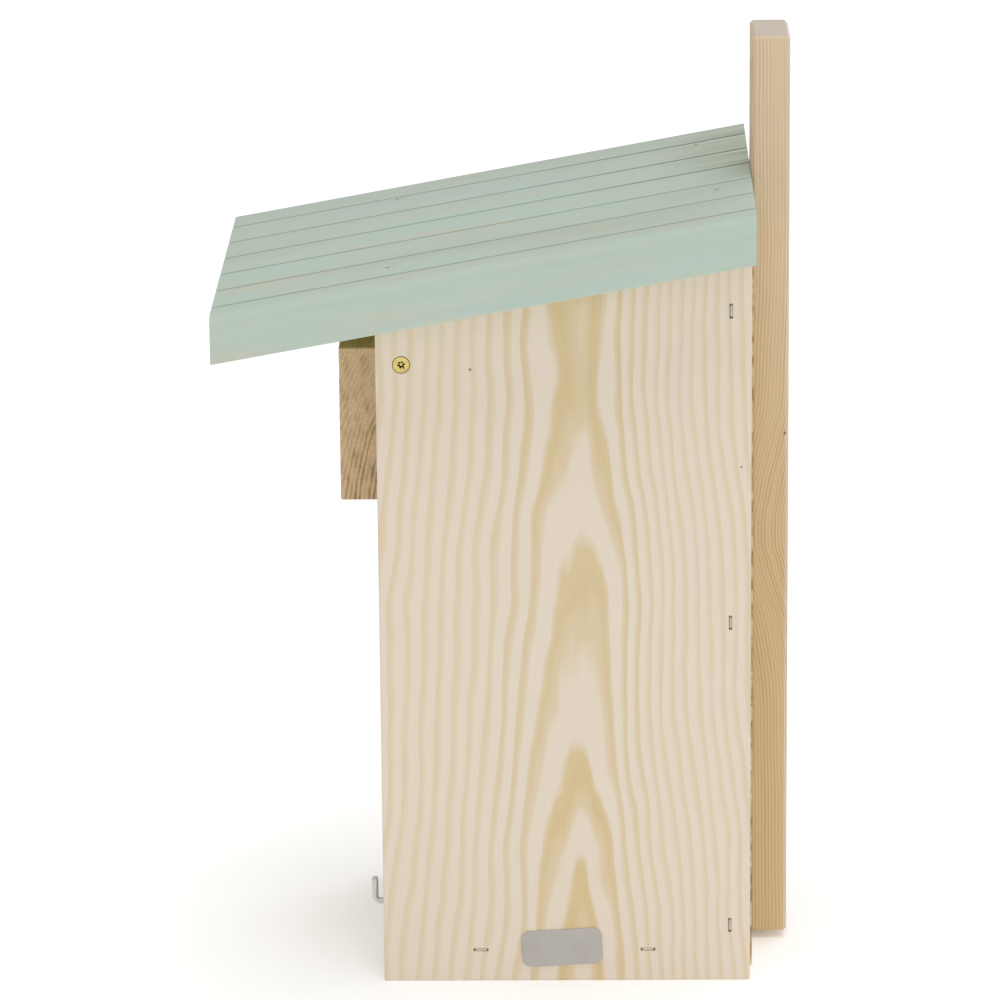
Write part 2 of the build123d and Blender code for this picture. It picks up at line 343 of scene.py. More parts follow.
def wood_shader(tree, shader, band, fibre, early, late, tone=0.07, relief=0.5):
    """Mix early and late wood, streak them with fibre, and raise the late wood a little."""
    mixed = add(tree, "Mix", {"Factor": band, 6: early, 7: linear(late)}, data_type="RGBA")
    streak = add(tree, "Math", {0: fibre, 1: tone, 2: 1.0}, operation="MULTIPLY_ADD").outputs[0]
    toned = add(tree, "VectorMath", {0: mixed.outputs[2], "Scale": streak}, operation="SCALE")
    tree.links.new(toned.outputs[0], shader.inputs["Base Color"])
    height = add(tree, "Math", {0: band, 1: relief, 2: fibre}, operation="MULTIPLY_ADD").outputs[0]
    bump = add(tree, "Bump", {"Height": height, "Strength": 0.3, "Distance": 0.00006})
    tree.links.new(bump.outputs[0], shader.inputs["Normal"])
    shader.inputs["Specular IOR Level"].default_value = 0.3


def planed_pine(name, turn, start, up):
    """Planed pine board; turn and start lay the pattern on it."""
    material, tree, shader = new_material(name, 0.62)
    axes = board_axes(tree, turn, start)
    band, fibre, middle = arched_rings(tree, axes, up, PINE_OVER, RING_DEPTH, SQUEEZE)
    thin = add(tree, "MapRange", {0: middle, 1: 8.0, 2: 32.0, 3: 0.0, 4: 0.28}).outputs[0]
    fade = add(tree, "MapRange", {0: middle, 1: 8.0, 2: 40.0, 3: 1.0, 4: 0.46}).outputs[0]
    faded = add(tree, "MapRange", {0: band, 1: thin, 2: 1.0, 3: 0.0, 4: fade}).outputs[0]
    wood_shader(tree, shader, faded, fibre, linear(EARLY_PINE), LATE_PINE)
    return material


def dark_spots(material, spots):
    """Paint small dark spots, such as pin knots: each is x, y, z and a radius, in metres."""
    tree = material.node_tree
    shader = tree.nodes["Principled BSDF"]
    place = add(tree, "TexCoord").outputs["Object"]
    for x, y, z, radius in spots:
        away = add(tree, "VectorMath", {0: place, 1: (x, y, z)}, operation="DISTANCE").outputs["Value"]
        share = {0: away, 1: radius * 0.5, 2: radius * 1.5, 3: 0.85, 4: 0.0}
        share = add(tree, "MapRange", share).outputs[0]
        under = shader.inputs["Base Color"].links[0].from_socket
        spot = {"Factor": share, 6: under, 7: linear(SPOT)}
        tree.links.new(add(tree, "Mix", spot, data_type="RGBA").outputs[2], shader.inputs["Base Color"])


RIGHT_UP = [(0, 2.4), (10, 2.45), (46, 2.98), (95, 3.97), (181, 5.0), (222, 5.5), (240, 5.68),
            (262, 5.6), (300, 5.5)]
RIGHT_MIDDLE = 29 * MM   # where the arches' middle lies along the panel
pine_right = planed_pine("Planed pine, right side", (0, 0, -90), (face_x, RIGHT_MIDDLE, 0), RIGHT_UP)
dark_spots(pine_right, [
    (face_x, -13 * MM, 250.4 * MM, 0.5 * MM),
    (face_x, back_y - 3.9 * MM, 211 * MM, 0.4 * MM),
])
dress(nodes["right_side_panel"], pine_right)

# %% [markdown]
# The other boards come from other planks, so each has its own arches.

# %% The other pine boards
boards = {
    "left_side_panel": ((0, 0, 90), (-face_x, 12 * MM, 0), [(0, 3.2), (120, 4.1), (210, 5.0), (300, 5.7)]),
    "back_panel": ((0, 0, 180), (9 * MM, back_y, 0), [(0, 5.2), (90, 4.3), (190, 3.4), (300, 2.8)]),
    "front_panel": ((0, 0, 0), (-6 * MM, front_y, 0), [(0, 2.6), (100, 3.3), (200, 4.2), (300, 5.4)]),
    "floor_panel": ((-90, 0, 0), (11 * MM, back_y, 5 * MM), [(0, 3.1), (60, 3.6), (120, 4.3), (300, 5.0)]),
}
pines = {}
for name, (turn, start, up) in boards.items():
    title = "Planed pine, " + name.replace("_panel", "").replace("_", " ")
    pines[name] = planed_pine(title, turn, start, up)
    dress(nodes[name], pines[name])

# The back panel's sawn edges stand a little behind the side panels. They are torn, and their darker
# colour is partly painted shade of the narrow gap beside the side panels and the batten.
SAWN_FROM = 48.4 * MM
tree = pines["back_panel"].node_tree
shader = tree.nodes["Principled BSDF"]
place = add(tree, "TexCoord").outputs["Object"]
sideways = add(tree, "SeparateXYZ", {0: place}).outputs[0]
sides = add(tree, "Math", {0: sideways}, operation="ABSOLUTE").outputs[0]
edge = add(tree, "Math", {0: sides, 1: SAWN_FROM}, operation="GREATER_THAN").outputs[0]
chips = add(tree, "MapRange", {0: drift(tree, place, (9 * MM, 9 * MM, 5 * MM), 1.0, 2.0), 1: -0.12, 2: 0.12})
torn_and_shaded = {"Factor": chips.outputs[0], 6: linear("a27f4b"), 7: linear("d3bc91")}
torn_and_shaded = add(tree, "Mix", torn_and_shaded, data_type="RGBA").outputs[2]
edged = {"Factor": edge, 6: shader.inputs["Base Color"].links[0].from_socket, 7: torn_and_shaded}
tree.links.new(add(tree, "Mix", edged, data_type="RGBA").outputs[2], shader.inputs["Base Color"])
print("dressed", 1 + len(pines), "pine boards")

# %% [markdown]
# ### Batten
#
# The batten is a darker stick of pine with narrow rings, cut nearly on the quarter, so its lines are
# straight and close. A knot that grew just outside it pushed them across the face lower down. The ring
# number is the distance across the face, less a sideways push read from a curve up the stick. Its sawn
# top end has greyed.

# %% Batten
BATTEN_RING = 1.35
PUSH_LENGTH = 400        # mm covered by the curve up the stick
PUSH_MOST = 20           # its highest push, in mm
PUSH = [(0, 16), (96, 15), (119, 13), (160, 2.5), (172, 0.5), (185, 2), (211, 8), (236, 12), (400, 12)]
batten_wood, tree, shader = new_material("Planed pine, narrow rings", 0.6)
across, depth, along = board_axes(tree, (0, 0, -90), (batten_high.x, batten_low.y, 0))
place = add(tree, "CombineXYZ", {0: across, 1: depth, 2: along}).outputs[0]
share = add(tree, "Math", {0: along, 1: 1 / PUSH_LENGTH}, operation="MULTIPLY", use_clamp=True).outputs[0]
pushed = add(tree, "FloatCurve", {"Value": share})
bend_curve(pushed, [(mm / PUSH_LENGTH, push) for mm, push in PUSH], PUSH_MOST)
away = {0: pushed.outputs[0], 1: -PUSH_MOST, 2: across}
away = add(tree, "Math", away, operation="MULTIPLY_ADD").outputs[0]
moved = total(tree, [away, drift(tree, place, (30, 30, 70), 3.0), drift(tree, place, (5, 5, 40), 0.7)])
turned_in = add(tree, "Math", {0: depth, 1: 0.35, 2: moved}, operation="MULTIPLY_ADD").outputs[0]
number = add(tree, "Math", {0: turned_in, 1: 1 / BATTEN_RING}, operation="MULTIPLY").outputs[0]
fibre = drift(tree, place, (0.5, 0.5, 18), 1.0, 3.0)
rise = add(tree, "MapRange", {0: along, 1: 130.0, 2: 330.0}).outputs[0]
early = {"Factor": rise, 6: linear("d6bd92"), 7: linear("dcc5a6")}
early = add(tree, "Mix", early, data_type="RGBA").outputs[2]
# Painted highlight: the eased right edge is painted paler and pinker, as if it caught the light.
eased_edge_highlight = add(tree, "MapRange", {0: across, 1: 13.2, 2: 13.8, 3: 0.0, 4: 0.8}).outputs[0]
early = add(tree, "Mix", {"Factor": eased_edge_highlight, 6: early, 7: linear("dccbbb")}, data_type="RGBA").outputs[2]
top_end = add(tree, "Math", {0: along, 1: batten_high.z / MM - 0.3}, operation="GREATER_THAN").outputs[0]
early = add(tree, "Mix", {"Factor": top_end, 6: early, 7: linear("ccc3b8")}, data_type="RGBA").outputs[2]
faint = add(tree, "MapRange", {0: along, 1: 150.0, 2: 330.0, 3: 0.85, 4: 0.5}).outputs[0]
band = add(tree, "Math", {0: late_wood(tree, number, 0.4), 1: faint}, operation="MULTIPLY").outputs[0]
wood_shader(tree, shader, band, fibre, early, "b99a68", 0.14)
dark_spots(batten_wood, [(batten_high.x, batten_high.y - 1.4 * MM, 211.7 * MM, 0.55 * MM)])
dress(nodes["back_batten"], batten_wood)

# %% [markdown]
# ### Entrance block
#
# The block's grain runs across the box, so its two ends show sawn end grain: rough, browner than a
# planed face, with the rings as slanting lines that steepen downwards. The saw leaves the end grain
# furry, so it has more bump and no sheen. Its top, under the roof, is painted dark and greenish:
# painted shade with a painted reflection of the green roof.

# %% Entrance block
BLOCK_RING = 1.9
BLOCK_SLANT = -0.12
BLOCK_BOW = -0.0036
block_wood, tree, shader = new_material("Sawn pine end grain", 0.85)
height, depth, along = board_axes(tree, (0, 90, 0), (block_high.x, block_low.y, block_low.z))
place = add(tree, "CombineXYZ", {0: height, 1: depth, 2: along}).outputs[0]
slant = add(tree, "Math", {0: height, 1: BLOCK_SLANT, 2: depth}, operation="MULTIPLY_ADD").outputs[0]
bow = add(tree, "Math", {0: height, 1: height}, operation="MULTIPLY").outputs[0]
bowed = add(tree, "Math", {0: bow, 1: BLOCK_BOW, 2: slant}, operation="MULTIPLY_ADD").outputs[0]
waved = total(tree, [bowed, drift(tree, place, (40, 12, 200), 3.0), drift(tree, place, (5, 2, 90), 0.8, 2.0)])
number = add(tree, "Math", {0: waved, 1: 1 / BLOCK_RING}, operation="MULTIPLY").outputs[0]
band = late_wood(tree, number, 0.35)
low_down = add(tree, "MapRange", {0: height, 1: 45.0, 2: 8.0, 3: 0.35, 4: 0.95}).outputs[0]
band = add(tree, "Math", {0: band, 1: low_down}, operation="MULTIPLY").outputs[0]
amount = total(tree, [band, drift(tree, place, (8, 4, 60), 1.8, 3.0)])
pores = drift(tree, place, (0.7, 0.45, 9), 1.0, 3.0)
# Painted shade and a painted reflection of the green roof: the block's top, under the roof, turns dark olive.
painted_top_shade = add(tree, "MapRange", {0: height, 1: 61.2, 2: 61.7, 3: 0.0, 4: 0.9}).outputs[0]
block_early_wood = linear("d6bb96")
early = add(tree, "Mix", {"Factor": painted_top_shade, 6: block_early_wood, 7: linear("a8944c")}, data_type="RGBA").outputs[2]
wood_shader(tree, shader, amount, pores, early, "927550", 0.95, 0.8)
dress(nodes["entrance_block"], block_wood)
print("batten and block dressed")

# %% [markdown]
# ### Stained roof
#
# The roof board is grooved pine brushed with a thin pale green stain. A stain is not paint: it soaks
# in unevenly along the grain, so mint strips lie beside greyer and more beige ones, the rings show
# through faintly, and it pools in the grooves, whose colour also carries painted shade, darkest towards
# the back on the far strips. At the back end the far strips' saw cut drank more of it and weather has
# yellowed it. The grooves lie where the frame has them, a little deeper.

# %% Stained roof
GROOVES = 6
GROOVE_PITCH = 27.6 * MM
GROOVE_FIRST = 14.5 * MM
GROOVE_HALF = 1.1 * MM
GROOVE_DEPTH = 1.4 * MM
roof_turned = Matrix.Rotation(ROOF_PITCH, 4, "X")
roof_front = Vector((0, front_y, under_roof_front))
roof_face = roof_front + roof_turned @ Vector((0, 0, ROOF_THICKNESS))
stain, tree, shader = new_material("Pale green stain, brushed on pine", 0.66)
roof_turn = (90 - math.degrees(ROOF_PITCH), 0, 0)
across, depth, along = board_axes(tree, roof_turn, roof_face)
place = add(tree, "CombineXYZ", {0: across, 1: depth, 2: along}).outputs[0]
colour = linear("b9c8ba")
layers = [
    (drift(tree, place, (9, 9, 75), 5.0, 2.0), "c2c3b2"),
    (drift(tree, place, (4, 6, 110), 3.6, 2.0), "b4c8c0"),
    (drift(tree, place, (30, 40, 160), 3.0, 1.0), "b7bfae"),
]
for amount, tint in layers:
    share = add(tree, "MapRange", {0: amount, 1: 0.05, 2: 0.75, 3: 0.0, 4: 0.75}).outputs[0]
    colour = add(tree, "Mix", {"Factor": share, 6: colour, 7: linear(tint)}, data_type="RGBA").outputs[2]
far = add(tree, "MapRange", {0: across, 1: 10.0, 2: -86.0, 3: 0.0, 4: 0.55}).outputs[0]
colour = add(tree, "Mix", {"Factor": far, 6: colour, 7: linear("b3bcb4")}, data_type="RGBA").outputs[2]
rings = drift(tree, place, (1.6, 1.6, 60), 1.0, 2.0)
inside = add(tree, "MapRange", {0: depth, 1: 0.12, 2: 0.5, 3: 0.0, 4: 1.0}).outputs[0]
shallow = add(tree, "Math", {0: depth, 1: GROOVE_DEPTH / MM + 0.1}, operation="LESS_THAN").outputs[0]
# How far the nearest groove's middle is, so that the painted groove shade stays out of the sawn ends between
# them.
first = add(tree, "Math", {0: across, 1: (GROOVE_FIRST - roof_high.x) / MM}, operation="ADD").outputs[0]
off = add(tree, "Math", {0: first, 1: GROOVE_PITCH / MM / 2}, operation="PINGPONG").outputs[0]
near = add(tree, "Math", {0: off, 1: GROOVE_HALF / MM + 0.4}, operation="LESS_THAN").outputs[0]
groove = add(tree, "Math", {0: inside, 1: shallow}, operation="MULTIPLY").outputs[0]
groove = add(tree, "Math", {0: groove, 1: near}, operation="MULTIPLY").outputs[0]
worn_end = add(tree, "MapRange", {0: along, 1: 112.0, 2: 150.0, 3: 0.0, 4: 1.0}).outputs[0]
worn_side = add(tree, "MapRange", {0: across, 1: 6.0, 2: -14.0, 3: 0.0, 4: 1.0}).outputs[0]
worn_patch = add(tree, "MapRange", {0: drift(tree, place, (8, 8, 50), 2.0, 2.0), 1: -0.3, 2: 0.3}).outputs[0]
worn = add(tree, "Math", {0: worn_end, 1: worn_side}, operation="MULTIPLY").outputs[0]
worn = add(tree, "Math", {0: worn, 1: worn_patch}, operation="MULTIPLY").outputs[0]
colour = add(tree, "Mix", {"Factor": worn, 6: colour, 7: linear("a3a68f")}, data_type="RGBA").outputs[2]
# Painted shade in the grooves, over the stain that pools there: pale grey-green at the front, near black
# towards the back on the far strips.
groove_darker_end = add(tree, "MapRange", {0: along, 1: 60.0, 2: 140.0}).outputs[0]
groove_darker_to_back = add(tree, "Math", {0: groove_darker_end, 1: worn_side}, operation="MULTIPLY").outputs[0]
groove_stain_and_shade = {"Factor": groove_darker_to_back, 6: linear("a0ac9f"), 7: linear("4a463a")}
groove_stain_and_shade = add(tree, "Mix", groove_stain_and_shade, data_type="RGBA").outputs[2]
colour = add(tree, "Mix", {"Factor": groove, 6: colour, 7: groove_stain_and_shade}, data_type="RGBA").outputs[2]
streak = add(tree, "Math", {0: rings, 1: 0.10, 2: 1.0}, operation="MULTIPLY_ADD").outputs[0]
toned = add(tree, "VectorMath", {0: colour, "Scale": streak}, operation="SCALE")
tree.links.new(toned.outputs[0], shader.inputs["Base Color"])
bump = add(tree, "Bump", {"Height": rings, "Strength": 0.3, "Distance": 0.0001})
tree.links.new(bump.outputs[0], shader.inputs["Normal"])
shader.inputs["Specular IOR Level"].default_value = 0.3
print("stain mixed")

# %% [markdown]
# ## Roof board
#
# The frame's roof has plain V grooves. On the real board a moulding cutter left narrow round-lipped
# grooves and rounded long edges. The board starts as a box. Cuts across its width mark each groove's
# lips and bottom, the bottom lines are let down, and bevels round the lips and the long edges. Then
# the board is tipped to the pitch and cut plumb at both ends, as a carpenter would.

# %% Roof board
EDGE_RADIUS = 4.5 * MM
LOW_EDGE = 0.8 * MM
LIP_RADIUS = 0.4 * MM
LONG = 0.4               # the blank's length, longer than the board that is cut from it
SMOOTH_UP_TO = math.radians(32)
CLOSE = 1e-5


def new_piece(name, bm, body, node, material):
    """Turn a finished bmesh into a piece that stands for a frame node."""
    bmesh.ops.remove_doubles(bm, verts=bm.verts, dist=1e-6)
    bmesh.ops.recalc_face_normals(bm, faces=bm.faces)
    mesh = bpy.data.meshes.new(name)
    bm.to_mesh(mesh)
    bm.free()
    mesh.shade_smooth()
    mesh.set_sharp_from_angle(angle=SMOOTH_UP_TO)
    piece = bpy.data.objects.new(name, mesh)
    bpy.context.scene.collection.objects.link(piece)
    mesh.materials.append(material)
    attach(piece, body)
    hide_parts(node)
    return piece


def bevel(bm, edges, size, segments):
    bmesh.ops.bevel(bm, geom=edges, offset=size, offset_type="OFFSET", affect="EDGES",
                    segments=segments, profile=0.5, material=-1, clamp_overlap=True)


def long_edges(bm):
    """The edges that run the blank's whole length."""
    return [e for e in bm.edges if abs(e.verts[0].co.y - e.verts[1].co.y) > LONG / 2]


def sliced(bm, point, normal, clear=False):
    """Cut everything by a plane, and drop what lies past it if clear; returns what was cut."""
    whole = bm.verts[:] + bm.edges[:] + bm.faces[:]
    made = bmesh.ops.bisect_plane(bm, geom=whole, plane_co=point, plane_no=normal, clear_outer=clear)
    return made["geom_cut"]


roof_width = roof_high.x - roof_low.x
bm = bmesh.new()
bmesh.ops.create_cube(bm, size=1)
bmesh.ops.scale(bm, vec=(roof_width, LONG, ROOF_THICKNESS), verts=bm.verts)
bmesh.ops.translate(bm, vec=(0, 0, ROOF_THICKNESS / 2), verts=bm.verts)
bevel(bm, [e for e in long_edges(bm) if e.verts[0].co.z > ROOF_THICKNESS / 2], EDGE_RADIUS, 8)
bevel(bm, [e for e in long_edges(bm) if e.verts[0].co.z < CLOSE], LOW_EDGE, 3)
groove_lines = [roof_high.x - GROOVE_FIRST - index * GROOVE_PITCH for index in range(GROOVES)]
for x in groove_lines:
    for shift in (-GROOVE_HALF, -GROOVE_HALF / 2, GROOVE_HALF / 2, GROOVE_HALF):
        sliced(bm, (x + shift, 0, 0), (1, 0, 0))
lips = []
for x in groove_lines:
    for vert in bm.verts:
        if vert.co.z > ROOF_THICKNESS - CLOSE and abs(vert.co.x - x) < GROOVE_HALF * 0.7:
            vert.co.z -= GROOVE_DEPTH
    lips += [e for e in long_edges(bm) if e.verts[0].co.z > ROOF_THICKNESS - CLOSE
             and abs(abs(e.verts[0].co.x - x) - GROOVE_HALF) < CLOSE]
bevel(bm, lips, LIP_RADIUS, 3)
bmesh.ops.transform(bm, matrix=Matrix.Translation(roof_front) @ roof_turned, verts=bm.verts)
for y, out in ((roof_low.y, -1), (roof_high.y, 1)):
    cut = sliced(bm, (0, y, 0), (0, out, 0), clear=True)
    rim = [e for e in cut if isinstance(e, bmesh.types.BMEdge)]
    bmesh.ops.contextual_create(bm, geom=rim)
roof = new_piece("roof_grooved", bm, "box", "roof_board", stain)
print("roof board has", len(roof.data.polygons), "faces")

# %% [markdown]
# ## Metals
#
# Four metals are used. The screws are steel passivated yellow: a gold colour that drifts to olive
# and rose. A darker copy of that plating stands for painted shade in their recess and painted
# shadow round the head's edge. The hook is bright zinc on drawn wire, pale and faintly lined along
# its length. The staples are galvanised wire, a warmer and slightly darker grey.

# %% Metals
def plated(name, tints, roughness, sizes, depth):
    """Plated metal whose colour drifts between tints; sizes are the drift's features in mm."""
    material, tree, shader = new_material(name, roughness, 1.0)
    place = add(tree, "TexCoord").outputs["Object"]
    scaled = add(tree, "Mapping", {"Vector": place, "Scale": [1 / (size * MM) for size in sizes]})
    noise = add(tree, "TexNoise", {"Vector": scaled.outputs[0], "Scale": 1.0, "Detail": 3.0}).outputs[0]
    mixed = add(tree, "ValToRGB", {0: noise})
    ramp = mixed.color_ramp
    ramp.elements[0].position, ramp.elements[0].color = 0.30, linear(tints[0])
    ramp.elements[1].position, ramp.elements[1].color = 0.70, linear(tints[-1])
    for tint in tints[1:-1]:
        ramp.elements.new(0.5).color = linear(tint)
    tree.links.new(mixed.outputs[0], shader.inputs["Base Color"])
    rough = add(tree, "MapRange", {0: noise, 1: 0.3, 2: 0.7, 3: roughness - 0.08, 4: roughness + 0.1})
    tree.links.new(rough.outputs[0], shader.inputs["Roughness"])
    bump = add(tree, "Bump", {"Height": noise, "Strength": 0.3, "Distance": depth})
    tree.links.new(bump.outputs[0], shader.inputs["Normal"])
    return material


yellow_zinc = plated("Yellow passivated steel, cold formed", ("b9a862", "d8c57c", "cdb489"), 0.3,
                     (1.1, 1.1, 1.1), 0.00003)
bright_zinc = plated("Bright zinc on drawn wire", ("c2c1bf", "e2e1df"), 0.5, (0.35, 0.35, 6), 0.00002)
galvanised = plated("Galvanised staple wire", ("b5ab9a", "d2c9ba"), 0.45, (0.5, 0.5, 0.5), 0.00003)
shaded_plating = plated("Yellow passivated steel, dark in its hollows", ("4d4423", "8c7b42"), 0.4,
                   (0.5, 0.5, 0.5), 0.00003)

# %% [markdown]
# ## Screws
#
# A countersunk screw is turned about its own axis, so it is one ring of points drawn out again and
# again to the next radius and height of its outline. The recess starts the same way, from a ring whose
# radius swells six times round, which makes the star that a driver bit fits. Its middle is raised, so
# that it catches some light between the walls, which are painted dark as shade. The head has a slightly
# raised rim, and its outer edge is painted dark as shadow. The thread is drawn as ridges within the
# plain shank's radius, because it stays hidden.

# %% Screws
RING_POINTS = 48
HEAD_RADIUS = 3.5 * MM
SHANK_RADIUS = 1.75 * MM
RECESS_RADIUS = 1.3 * MM
RECESS_LOBE = 0.3 * MM
RECESS_DEPTH = 1.3 * MM
RECESS_RISE = 0.5 * MM
# Painted shadow: past this radius the head's edge takes the dark plating, as where the head meets the wood.
DARK_RIM = 3.12 * MM     # the radius past which the head's edge is dark
THREAD_PITCH = 1.6 * MM
THREAD_DEPTH = 0.35 * MM
SCREW_TIP = 3 * MM


def draw_out(bm, ring, radius, z, lobe=0.0):
    """Extrude a ring of edges and set the new ring's radius and height."""
    grown = bmesh.ops.extrude_edge_only(bm, edges=ring)["geom"]
    set_ring([v for v in grown if isinstance(v, bmesh.types.BMVert)], radius, z, lobe)
    return [e for e in grown if isinstance(e, bmesh.types.BMEdge) and e.is_boundary]


def set_ring(verts, radius, z, lobe=0.0):
    for vert in verts:
        angle = math.atan2(vert.co.y, vert.co.x)
        reach = radius + lobe * math.cos(6 * angle)
        vert.co = (reach * math.cos(angle), reach * math.sin(angle), z)


def screw(length):
    """A countersunk screw along -Z with its face at Z = 0."""
    bm = bmesh.new()
    made = bmesh.ops.create_circle(bm, cap_ends=False, segments=RING_POINTS, radius=RECESS_RADIUS)
    set_ring(made["verts"], RECESS_RADIUS, -0.12 * MM, RECESS_LOBE)
    lip = bm.edges[:]
    ring = draw_out(bm, lip, RECESS_RADIUS * 0.94, -RECESS_DEPTH, RECESS_LOBE)
    ring = draw_out(bm, ring, RECESS_RADIUS * 0.45, RECESS_RISE - RECESS_DEPTH)
    bmesh.ops.contextual_create(bm, geom=ring)
    outline = [(1.7 * MM, -0.06 * MM), (2.9 * MM, -0.05 * MM), (3.15 * MM, 0), (3.35 * MM, -0.02 * MM),
               (HEAD_RADIUS, -0.14 * MM), (3.3 * MM, -0.36 * MM),
               (SHANK_RADIUS, SHANK_RADIUS - HEAD_RADIUS)]
    z = SHANK_RADIUS - HEAD_RADIUS - 2 * MM
    outline.append((SHANK_RADIUS, z))
    while z > SCREW_TIP - length + THREAD_PITCH:
        outline += [(SHANK_RADIUS - THREAD_DEPTH, z - 0.3 * THREAD_PITCH),
                    (SHANK_RADIUS - THREAD_DEPTH, z - 0.7 * THREAD_PITCH),
                    (SHANK_RADIUS, z - THREAD_PITCH)]
        z -= THREAD_PITCH
    outline += [(SHANK_RADIUS - THREAD_DEPTH, SCREW_TIP - length), (0.05 * MM, -length)]
    ring = lip
    for radius, height in outline:
        ring = draw_out(bm, ring, radius, height)
    bmesh.ops.contextual_create(bm, geom=ring)
    return bm


def place_on(bm, point, outward, turn):
    """Move a piece made along -Z so that its face looks outward at a point."""
    aim = Vector(outward).to_track_quat("Z", "Y").to_matrix().to_4x4()
    spun = Matrix.Rotation(turn, 4, "Z")
    bmesh.ops.transform(bm, matrix=Matrix.Translation(point) @ aim @ spun, verts=bm.verts)


def screw_piece(node, body, outward, turn):
    """A screw in a node's place: its face is at the outward end of the node's box."""
    low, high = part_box(node)
    axis = Vector(outward)
    length = abs((high - low).dot(axis))
    bm = screw(length)
    point = (low + high) / 2 + axis * length / 2
    # Painted shade: the recess walls, apart from the raised middle, and the head's outer edge get the second,
    # dark material.
    for face in bm.faces:
        middle = face.calc_center_median()
        reach = middle.xy.length
        in_recess = RECESS_RADIUS * 0.2 < reach < RECESS_RADIUS * 1.15
        below_lip = -RECESS_DEPTH * 1.1 < middle.z < -0.1 * MM
        face.material_index = 1 if (in_recess and below_lip) or reach > DARK_RIM else 0
    place_on(bm, point, outward, turn)
    piece = new_piece(node + "_turned", bm, body, node, yellow_zinc)
    piece.data.materials.append(shaded_plating)


screw_piece("pivot_screw_right", "front", (1, 0, 0), math.radians(12))
screw_piece("pivot_screw_left", "front", (-1, 0, 0), math.radians(33))
for number in (1, 2):
    screw_piece("batten_screw_" + str(number), "box", (0, 1, 0), math.radians(20 * number))
print("four screws")

# %% [markdown]
# ## Staples
#
# A staple is one length of flattened wire with two bends. Its section is a rounded outline, drawn down
# one leg, swung round each bend with spin, and drawn along the crown. Because the wire is round at its
# corners and the slot it was driven into is not, small dark gaps stay at its ends, as on a real one.
# The upright ones are a little narrower than their slots and lie to one side.

# %% Staples
CROWN = 5.8 * MM
WIRE_WIDE = 1.25 * MM
WIRE_THICK = 1.0 * MM
STAPLE_BEND = 0.95 * MM
WIRE_CORNER = 0.3 * MM
BEND_STEPS = 6
UPRIGHT_WIDE = 1.08 * MM
UPRIGHT_ASIDE = 0.08 * MM
SUNK = 0.06 * MM


def drawn(bm, ring, vec):
    """Extrude a ring of edges along a vector."""
    grown = bmesh.ops.extrude_edge_only(bm, edges=ring)["geom"]
    verts = [v for v in grown if isinstance(v, bmesh.types.BMVert)]
    bmesh.ops.translate(bm, vec=vec, verts=verts)
    return [e for e in grown if isinstance(e, bmesh.types.BMEdge) and all(v in verts for v in e.verts)]


def swung(bm, ring, centre, steps):
    """Spin a ring of edges a quarter turn about X."""
    made = bmesh.ops.spin(bm, geom=ring, cent=centre, axis=(1, 0, 0), angle=-math.pi / 2, steps=steps,
                          use_duplicate=False)
    return [e for e in made["geom_last"] if isinstance(e, bmesh.types.BMEdge)]


def staple(leg, sink, wide=WIRE_WIDE, aside=0.0):
    """A staple driven along -Z with its crown along Y, sunk below Z = 0 and pushed aside along X."""
    bm = bmesh.new()
    bmesh.ops.create_grid(bm, x_segments=1, y_segments=1, size=0.5)
    bmesh.ops.scale(bm, vec=(wide, WIRE_THICK, 1), verts=bm.verts)
    bmesh.ops.bevel(bm, geom=bm.verts[:], offset=WIRE_CORNER, offset_type="OFFSET", affect="VERTICES",
                    segments=3, profile=0.5, material=-1, clamp_overlap=True)
    y_leg = (CROWN - WIRE_THICK) / 2
    z_crown = -sink - WIRE_THICK / 2
    bmesh.ops.translate(bm, vec=(aside, -y_leg, -leg), verts=bm.verts)
    ring = bm.edges[:]
    ring = drawn(bm, ring, (0, 0, leg + z_crown - STAPLE_BEND))
    ring = swung(bm, ring, (0, STAPLE_BEND - y_leg, z_crown - STAPLE_BEND), BEND_STEPS)
    ring = drawn(bm, ring, (0, CROWN - WIRE_THICK - 2 * STAPLE_BEND, 0))
    ring = swung(bm, ring, (0, y_leg - STAPLE_BEND, z_crown - STAPLE_BEND), BEND_STEPS)
    ring = drawn(bm, ring, (0, 0, -leg - z_crown + STAPLE_BEND))
    bmesh.ops.contextual_create(bm, geom=ring)
    return bm


def staple_piece(node, body, outward, upright):
    """A staple in a node's place, with its crown along Y or, when upright, across it."""
    low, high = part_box(node)
    axis = Vector(outward)
    leg = abs((high - low).dot(axis))
    bm = staple(leg, SUNK, UPRIGHT_WIDE, UPRIGHT_ASIDE) if upright else staple(leg, SUNK)
    crown_to = Vector((0, 0, 1)) if upright else Vector((0, 1, 0))
    sideways = crown_to.cross(axis)
    basis = Matrix((sideways, crown_to, axis)).transposed().to_4x4()
    point = (low + high) / 2 + axis * leg / 2
    bmesh.ops.transform(bm, matrix=Matrix.Translation(point) @ basis, verts=bm.verts)
    new_piece(node + "_wire", bm, body, node, galvanised)


for side, x in (("right", 1), ("left", -1)):
    for number in (1, 2, 3):
        staple_piece(f"back_staple_{side}_{number}", "box", (x, 0, 0), True)
    for number in (1, 2):
        staple_piece(f"floor_staple_{side}_{number}", "box", (x, 0, 0), False)
for number in (1, 2):
    staple_piece(f"block_staple_{number}", "front", (0, -1, 0), True)
print("twelve staples in the sides and the block")

# %% [markdown]
# The roof's staples lean with the board, so they are placed in its own turned frame. Their middle is
# the middle of the node's box.

